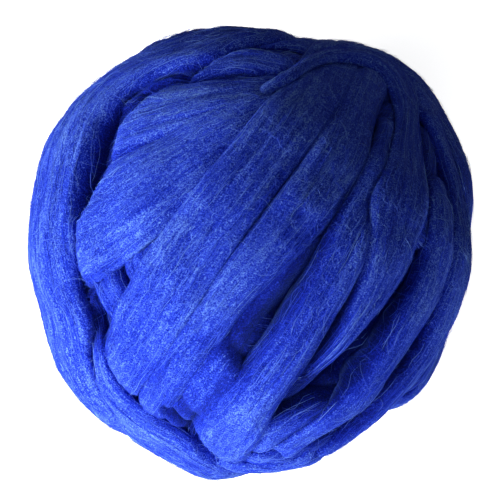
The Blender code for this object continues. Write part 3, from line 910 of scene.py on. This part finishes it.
def washer(lay):
    """A closed flat washer, or an arc of one, spun from its section: its width runs from radius 2 to 4."""
    mesh = bmesh.new()
    tops = [mesh.verts.new((SPREAD + across, 0, 1)) for across in np.linspace(-1, 1, lay.weave.rows)]
    inner = np.linspace(1, -1, lay.weave.under_rows + 2)[1:-1]
    bottoms = [mesh.verts.new((SPREAD + across, 0, 0)) for across in inner]
    ring = tops + bottoms
    edges = [mesh.edges.new(pair) for pair in zip(ring, ring[1:] + ring[:1])]
    sweep = FULL_TURN if lay.strap.closed else np.pi
    bmesh.ops.spin(mesh, geom=ring + edges, cent=(0, 0, 0), axis=(0, 0, 1), dvec=(0, 0, 0),
                   angle=sweep, steps=lay.cells, use_merge=lay.strap.closed)
    if not lay.strap.closed:
        ends = [edge for edge in mesh.edges if edge.is_boundary]
        caps = bmesh.ops.holes_fill(mesh, edges=ends, sides=0)
        bmesh.ops.triangulate(mesh, faces=caps["faces"])
    return mesh, sweep


def lay_grain(data, order, turn, across, closed):
    """Lay the grain map over a strap's faces, along and across its fibres."""
    corner_verts = np.empty(len(data.loops), int)
    data.loops.foreach_get("vertex_index", corner_verts)
    starts = np.empty(len(data.polygons), int)
    data.polygons.foreach_get("loop_start", starts)
    corner_turn = turn[corner_verts]
    if closed:
        most = np.maximum.reduceat(corner_turn, starts)
        counts = np.diff(np.append(starts, len(corner_turn)))
        behind = np.repeat(most, counts) - corner_turn > np.pi
        corner_turn = corner_turn + FULL_TURN * behind
    along, over_grain = grain_place(wound_straps()[order], corner_turn, across[corner_verts])
    layer = data.uv_layers.new(name="grain")
    layer.data.foreach_set("uv", np.column_stack([along, over_grain + GRAIN_APART * order]).ravel())


def strap_piece(order, settings):
    """One strap: a washer draped over what lies beneath it."""
    lay = wound_straps()[order]
    mesh, sweep = washer(lay)
    flat = np.array([vertex.co for vertex in mesh.verts])
    spun = np.arctan2(flat[:, 1], flat[:, 0])
    spun = np.where(spun < -1e-4, spun + FULL_TURN, np.clip(spun, 0, None))
    turn = lay.first + spun / sweep * (lay.last - lay.first)
    across = np.clip(np.hypot(flat[:, 0], flat[:, 1]) - SPREAD, -1, 1)
    under = flat[:, 2] < 0.5
    places, heights = shown_heights(order, turn, across)
    beneath = lay.read(lay.beneath, turn, across) - pressed(order, places)
    rounded = settings.edge_thick * (1 - EDGE_THINNING * across ** 4)
    heights = np.where(under, np.maximum(beneath - UNDER_SINK, heights - UNDER_DEPTHS * rounded), heights)
    layer_gap = LAYER_GAP * (len(wound_straps()) - order)
    points = at_rest(places, heights, layer_gap + UNDER_LIFT * under)
    for vertex, point in zip(mesh.verts, points):
        vertex.co = point
    bmesh.ops.recalc_face_normals(mesh, faces=mesh.faces[:])
    data = mesh_data(mesh, lay.strap.name)
    lay_grain(data, order, turn, across, lay.strap.closed)
    # Painted shade: how deep the strap lies in a gap, which darkens its colour.
    painted_gap_shade = data.attributes.new("painted_gap_shade", "FLOAT", "POINT")
    depth = open_level(places) + GAP_SHADE_FROM - heights
    painted_gap_shade.data.foreach_set("value", np.clip(depth / GAP_SHADE_FULL, 0, 1))
    finish_piece(data, "strap_" + lay.strap.name, wool_material(settings))


# A kind of fibre: how long and thick it is, how high it rides, how far it rises and wanders, its steps,
# between which shares its length and thickness vary, and the middle and the spread of its tone.
Fibre = namedtuple("Fibre", "long_m thick_m ride_mm rise_mm wander_mm steps lengths thicks tones")
# Every fibre: how many sides it has, how thin its tips are, how near the strap's edges and ends it lies, how
# low it comes, and how low on the ball it starts.
FIBRE_SIDES = 3
FIBRE_TIP = 0.2
FIBRE_EDGE = 0.985
END_CLEAR = 1e-3
FIBRE_LOWEST = 0.1 * MM
SCATTER_LOWEST = -0.9

# How a hair bridges and sags over hollows and how much painted shade darkens it where it lies sunk in a gap,
# how lying fibres ride and wave, and how loose ones curl.
HAIR_BRIDGE = 0.15
HAIR_SAG = 0.5 * MM
SUNK_PAINTED_SHADE = 0.7
LYING_RIDES = (-0.2, 1)
LYING_WAVE = 0.4
LYING_WAVES = 9
CURL_TURNS = (0.7, 3.0)
CURL_WAVE = 0.7
CURL_WAVES = 2.1
CURL_SHIFT = 5


def fibre_template(steps):
    """One thin closed rod of unit length, as its corners and its faces."""
    rod = bmesh.new()
    bmesh.ops.create_cone(rod, cap_ends=True, cap_tris=False, segments=FIBRE_SIDES,
                          radius1=1, radius2=1, depth=1)
    sides = [edge for edge in rod.edges if abs(edge.verts[0].co.z - edge.verts[1].co.z) > 0.5]
    bmesh.ops.subdivide_edges(rod, edges=sides, cuts=steps - 1, use_grid_fill=False)
    rod.verts.index_update()
    corners = np.array([vertex.co for vertex in rod.verts])
    faces = [[vertex.index for vertex in face.verts] for face in rod.faces]
    rod.free()
    return corners, faces


def joined_fibres(paths, thick, tones):
    """All the fibres of one piece in one mesh: the rod repeated along each path."""
    steps = paths.shape[1] - 1
    corners, faces = fibre_template(steps)
    step = np.rint((corners[:, 2] + 0.5) * steps).astype(int)
    angle = np.arctan2(corners[:, 1], corners[:, 0])
    ahead = unit(np.gradient(paths, axis=1))
    side = unit(np.cross(ahead, paths - np.array([0, 0, FLAT_DEPTH])))
    up = np.cross(side, ahead)
    taper = np.sqrt(1 + FIBRE_TIP ** 2 - np.abs(2 * np.arange(steps + 1) / steps - 1) ** 3)
    radius = 0.5 * thick[:, None] * taper[None, :]
    spoke = np.cos(angle)[:, None] * side[:, step] + np.sin(angle)[:, None] * up[:, step]
    points = paths[:, step] + spoke * radius[:, step, None]
    count = len(paths)
    sizes = np.array([len(face) for face in faces])
    loops = np.concatenate([np.array(face) for face in faces])
    all_loops = (loops[None, :] + len(corners) * np.arange(count)[:, None]).ravel()
    all_sizes = np.tile(sizes, count)
    data = bpy.data.meshes.new("fibres")
    data.vertices.add(count * len(corners))
    data.vertices.foreach_set("co", points.reshape(-1))
    data.loops.add(len(all_loops))
    data.loops.foreach_set("vertex_index", all_loops)
    data.polygons.add(len(all_sizes))
    data.polygons.foreach_set("loop_start", np.cumsum(all_sizes) - all_sizes)
    data.update(calc_edges=True)
    tone = data.attributes.new("tone", "FLOAT", "POINT")
    tone.data.foreach_set("value", np.repeat(tones, len(corners)))
    data.validate()
    return data


def fibre_piece(name, paths, kind, rng, painted_shade, settings):
    """One piece of many fibres, each with its own thickness and tone, the tone darkened by any painted shade.
    """
    thick = kind.thick_m * rng.uniform(*kind.thicks, len(paths))
    tones = np.clip(rng.normal(*kind.tones, len(paths)) - painted_shade, 0, 1)
    finish_piece(joined_fibres(paths, thick, tones), name, fibre_material(settings))


def scattered(count, rng):
    """Even random directions over the ball, clear of what it rests on."""
    lift = rng.uniform(SCATTER_LOWEST, 1, count)
    turn = rng.uniform(0, FULL_TURN, count)
    level = np.sqrt(1 - lift ** 2)
    return np.column_stack([level * np.cos(turn), level * np.sin(turn), lift])


def owners(places):
    """Which strap shows at each place."""
    heights = swell_height(places)
    owner = np.zeros(len(places), int)
    for order, lay in enumerate(wound_straps()):
        heights, shows = lay.lay_on(places, heights)
        owner[shows] = order
    return owner


def lying_fibres(name, count, kind, seed, settings):
    """A layer of fibres that lie along the straps which show."""
    rng = np.random.default_rng(seed)
    places = scattered(count, rng)
    owner = owners(places)
    steps = kind.steps
    paths = np.zeros((count, steps + 1, 3))
    for order, lay in enumerate(wound_straps()):
        mine = np.nonzero(owner == order)[0]
        if not len(mine):
            continue
        near, turn, across, _ = lay.find(places[mine])
        mine = mine[near]
        number = len(mine)
        long = kind.long_m * rng.uniform(*kind.lengths, number)
        share = np.linspace(-0.5, 0.5, steps + 1)
        run = long[:, None] * share[None, :]
        turns = turn[:, None] + run / lay.reach
        if not lay.strap.closed:
            turns = np.clip(turns, lay.first + END_CLEAR, lay.last - END_CLEAR)
        else:
            turns = turns % FULL_TURN
        wander = kind.wander_mm * MM * rng.normal(0, 1, (number, 3))
        wave = LYING_WAVE * wander[:, 2:] * np.sin(LYING_WAVES * share)
        bend = wander[:, :1] * share + wander[:, 1:2] * (4 * share ** 2 - 0.5) + wave
        aside = across[:, None] + (bend - lay.grain.lean * run) / (lay.half(turn)[:, None] * BALL_RADIUS)
        aside = np.clip(aside, -FIBRE_EDGE, FIBRE_EDGE)
        ride = kind.ride_mm * MM * rng.uniform(*LYING_RIDES, number)
        rise = kind.rise_mm * MM * rng.uniform(0, 1, number) ** 4
        end = rng.choice([-1, 1], number)
        lifted = ride[:, None] + rise[:, None] * np.clip(end[:, None] * 2 * share, 0, None) ** 2
        spots, heights = shown_heights(order, turns.ravel(), aside.ravel())
        paths[mine] = at_rest(spots, heights + lifted.ravel(), FIBRE_LOWEST).reshape(number, steps + 1, 3)
    made = np.abs(paths).sum((1, 2)) > 0
    fibre_piece(name, paths[made], kind, rng, 0, settings)


def stray_fibres(name, count, kind, seed, settings):
    """Loose fibres that cross the straps and stand off them here and there."""
    rng = np.random.default_rng(seed)
    starts = scattered(count, rng)
    steps = kind.steps
    heading = unit(np.cross(starts, rng.normal(0, 1, (count, 3))))
    curl = rng.choice([-1, 1], count) * rng.uniform(*CURL_TURNS, count)
    long = kind.long_m * rng.uniform(*kind.lengths, count)
    places = np.zeros((count, steps + 1, 3))
    place = starts
    for step in range(steps + 1):
        places[:, step] = place
        sideways = np.cross(place, heading)
        turn = (curl + CURL_WAVE * np.sin(CURL_WAVES * step + CURL_SHIFT * curl)) / steps
        heading = heading + sideways * turn[:, None]
        place = unit(place + heading * (long / steps / BALL_RADIUS)[:, None])
        heading = unit(heading - place * (heading * place).sum(1)[:, None])
    heights = surface(places.reshape(-1, 3), wound_straps()).reshape(count, steps + 1)
    level = open_level(places.reshape(-1, 3)).reshape(count, steps + 1)
    # Painted shade: a stray's tone is darkened by how deep it lies in the gaps.
    sunk = np.clip((level - heights) / GAP_SHADE_FULL, 0, 1).mean(1)
    chord = HAIR_BRIDGE * heights.max(1, keepdims=True) + (1 - HAIR_BRIDGE) * heights
    bridged = np.maximum(heights, chord - HAIR_SAG)
    share = np.linspace(0, 1, steps + 1)
    rise = kind.rise_mm * MM * rng.uniform(0, 1, count) ** 3
    lifted = kind.ride_mm * MM + rise[:, None] * share[None, :] ** 2
    paths = at_rest(places.reshape(-1, 3), (bridged + lifted).ravel(), FIBRE_LOWEST)
    paths = paths.reshape(count, steps + 1, 3)
    fibre_piece(name, paths, kind, rng, SUNK_PAINTED_SHADE * sunk, settings)


LYING = {
    "ride_mm": 0.15, "rise_mm": 1.2, "wander_mm": 0.6, "steps": 6,
    "lengths": (0.5, 1.5), "thicks": (0.6, 1.5), "tones": (0.55, 0.2),
}
CURL = {
    "ride_mm": 0.2, "rise_mm": 1.8, "wander_mm": 0.0, "steps": 5,
    "lengths": (0.4, 1.6), "thicks": (0.6, 1.3), "tones": (0.68, 0.2),
}
HAIR = CURL | {"ride_mm": 0.3, "rise_mm": 2.6, "steps": 10}
CURL_LONG = 8 * MM
HAIR_LONG = 17 * MM
LYING_SEED = 100
CURL_SEED = 220
HAIR_SEED = 310
CURLS_FOR_A_HAIR = 8


class ROVING_OT_turns(bpy.types.Operator):
    """Wind the full turns that make up the body of the ball"""

    bl_idname = "roving.turns"
    bl_label = "Wind full turns"

    def execute(self, context):
        for order in range(len(RINGS)):
            strap_piece(order, context.scene.roving)
        return {"FINISHED"}


class ROVING_OT_straps(bpy.types.Operator):
    """Wind the broad straps of the face and the rope round it"""

    bl_idname = "roving.straps"
    bl_label = "Wind face straps"

    def execute(self, context):
        for order, lay in enumerate(wound_straps()):
            if order >= len(RINGS) and not lay.pinch:
                strap_piece(order, context.scene.roving)
        return {"FINISHED"}


class ROVING_OT_fibres(bpy.types.Operator):
    """Lay fibres along the straps in two layers"""

    bl_idname = "roving.fibres"
    bl_label = "Lay fibres"

    def execute(self, context):
        settings = context.scene.roving
        kind = Fibre(settings.fibre_long, settings.fibre_thick, **LYING)
        for layer in range(2):
            lying_fibres(f"fibres_{layer + 1}", settings.fibres, kind, LYING_SEED + layer, settings)
        return {"FINISHED"}


class ROVING_OT_strays(bpy.types.Operator):
    """Scatter stray fibres over the ball"""

    bl_idname = "roving.strays"
    bl_label = "Scatter strays"

    def execute(self, context):
        settings = context.scene.roving
        curl = Fibre(CURL_LONG, settings.stray_thick, **CURL)
        for layer in range(2):
            stray_fibres(f"curls_{layer + 1}", settings.strays, curl, CURL_SEED + layer, settings)
        hair = Fibre(HAIR_LONG, settings.stray_thick, **HAIR)
        stray_fibres("strays", settings.strays // CURLS_FOR_A_HAIR, hair, HAIR_SEED, settings)
        return {"FINISHED"}


class ROVING_OT_stage(bpy.types.Operator):
    """Set the pale floor, the soft lights and the camera"""

    bl_idname = "roving.stage"
    bl_label = "Set the stage"

    def execute(self, context):
        settings = context.scene.roving
        floor_piece(settings)
        soft_light("key light", toward=(-0.87, -0.35, 0.36), away=1.25, size=0.85, power=settings.key_power)
        soft_light("low light", toward=(0.05, -0.95, 0.20), away=1.25, size=0.60, power=settings.low_power)
        soft_light("fill light", toward=(-0.1, -0.2, 1.0), away=1.4, size=1.2, power=settings.fill_power)
        room(context.scene, settings)
        overhead_camera(context.scene, settings)
        context.scene.view_settings.view_transform = "Standard"
        return {"FINISHED"}


# The floor: half its side, how far it lies under the ball, its glow, and how fine and dark its clouds are.
FLOOR_HALF = 3.0
FLOOR_DROP = 0.2 * MM
FLOOR_GLOW = 0.75
FLOOR_CLOUDS = 3.0
FLOOR_SHADE = 0.97

# The colours of the stage and of its surroundings.
WHITE = (1.0, 1.0, 1.0, 1.0)
ROOM_TINT = (0.9, 0.95, 1.0, 1.0)


def floor_piece(settings):
    """A plain pale floor under the ball."""
    mesh = bmesh.new()
    bmesh.ops.create_grid(mesh, x_segments=1, y_segments=1, size=FLOOR_HALF)
    bmesh.ops.translate(mesh, verts=mesh.verts[:], vec=(0, 0, -FLOOR_DROP))
    data = mesh_data(mesh, "floor")
    floor = placed("floor", data)
    material = bpy.data.materials.new("pale floor")
    material.use_nodes = True
    tree = material.node_tree
    shader = tree.nodes["Principled BSDF"]
    place = tree.nodes.new("ShaderNodeTexCoord")
    cloud = noise_node(tree, place.outputs["Object"], FLOOR_CLOUDS)
    pale = tuple(FLOOR_SHADE * part for part in settings.floor_tint)
    link(tree, ramp(tree, cloud.outputs["Fac"], ((0.3, pale), (0.7, settings.floor_tint))),
         shader.inputs["Base Color"])
    shader.inputs["Roughness"].default_value = 0.9
    shader.inputs["Emission Color"].default_value = WHITE
    shader.inputs["Emission Strength"].default_value = FLOOR_GLOW
    data.materials.append(material)
    floor.visible_diffuse = False


def soft_light(name, toward, away, size, power):
    """A large square light aimed at the ball."""
    middle = Vector((0, 0, FLAT_DEPTH))
    lamp = bpy.data.lights.new(name, "AREA")
    lamp.shape = "SQUARE"
    lamp.size = size
    lamp.energy = power
    light = placed(name, lamp)
    offset = Vector(toward).normalized() * away
    light.location = middle + offset
    light.rotation_euler = offset.to_track_quat("Z", "Y").to_euler()
    light.visible_camera = False


def room(scene, settings):
    """Even pale surroundings."""
    world = bpy.data.worlds.new("room")
    scene.world = world
    world.use_nodes = True
    tree = world.node_tree
    background = tree.nodes["Background"]
    background.inputs["Color"].default_value = ROOM_TINT
    background.inputs["Strength"].default_value = settings.room_light
    white = tree.nodes.new("ShaderNodeBackground")
    white.inputs["Color"].default_value = WHITE
    path = tree.nodes.new("ShaderNodeLightPath")
    mix = tree.nodes.new("ShaderNodeMixShader")
    link(tree, path.outputs["Is Camera Ray"], mix.inputs["Fac"])
    link(tree, background.outputs[0], mix.inputs[1])
    link(tree, white.outputs[0], mix.inputs[2])
    link(tree, mix.outputs[0], tree.nodes["World Output"].inputs["Surface"])


# Where the ball stands in the frame, in pixels.
IMAGE_SIDE = 500
BALL_SPAN = 450
BALL_CENTRE = (253, 253)
SENSOR_MM = 36.0


def overhead_camera(scene, settings):
    """A long lens straight above the ball's face."""
    middle = (CAD_LOW + CAD_HIGH) / 2
    away = settings.camera_away
    span = CAD_HIGH.y - CAD_LOW.y
    pixel = span / BALL_SPAN
    lens = bpy.data.cameras.new("camera")
    lens.sensor_width = SENSOR_MM
    lens.lens = SENSOR_MM * away / (IMAGE_SIDE * pixel)
    camera = placed("camera", lens)
    aside = (IMAGE_SIDE / 2 - BALL_CENTRE[0]) * pixel
    along = (BALL_CENTRE[1] - IMAGE_SIDE / 2) * pixel
    camera.location = (middle.x + aside, middle.y + along, middle.z + away)
    scene.camera = camera


class ROVING_PT_panel(bpy.types.Panel):
    """The ball's pieces and sizes"""

    bl_label = "Roving ball"
    bl_idname = "ROVING_PT_panel"
    bl_space_type = "VIEW_3D"
    bl_region_type = "UI"
    bl_category = "Roving"

    def draw(self, context):
        settings = context.scene.roving
        for name in RovingSettings.__annotations__:
            self.layout.prop(settings, name)
        for operator in OPERATORS:
            self.layout.operator(operator.bl_idname)


OPERATORS = (ROVING_OT_turns, ROVING_OT_straps, ROVING_OT_fibres, ROVING_OT_strays, ROVING_OT_stage)
CLASSES = (RovingSettings, *OPERATORS, ROVING_PT_panel)


def register():
    for item in CLASSES:
        bpy.utils.register_class(item)
    bpy.types.Scene.roving = PointerProperty(type=RovingSettings)


def unregister():
    del bpy.types.Scene.roving
    for item in reversed(CLASSES):
        bpy.utils.unregister_class(item)


def main():
    register()
    REST["shift"] = rest_shift()
    bpy.ops.roving.turns()
    bpy.ops.roving.straps()
    bpy.ops.roving.fibres()
    bpy.ops.roving.strays()
    bpy.ops.roving.stage()


if __name__ == "__main__":
    main()
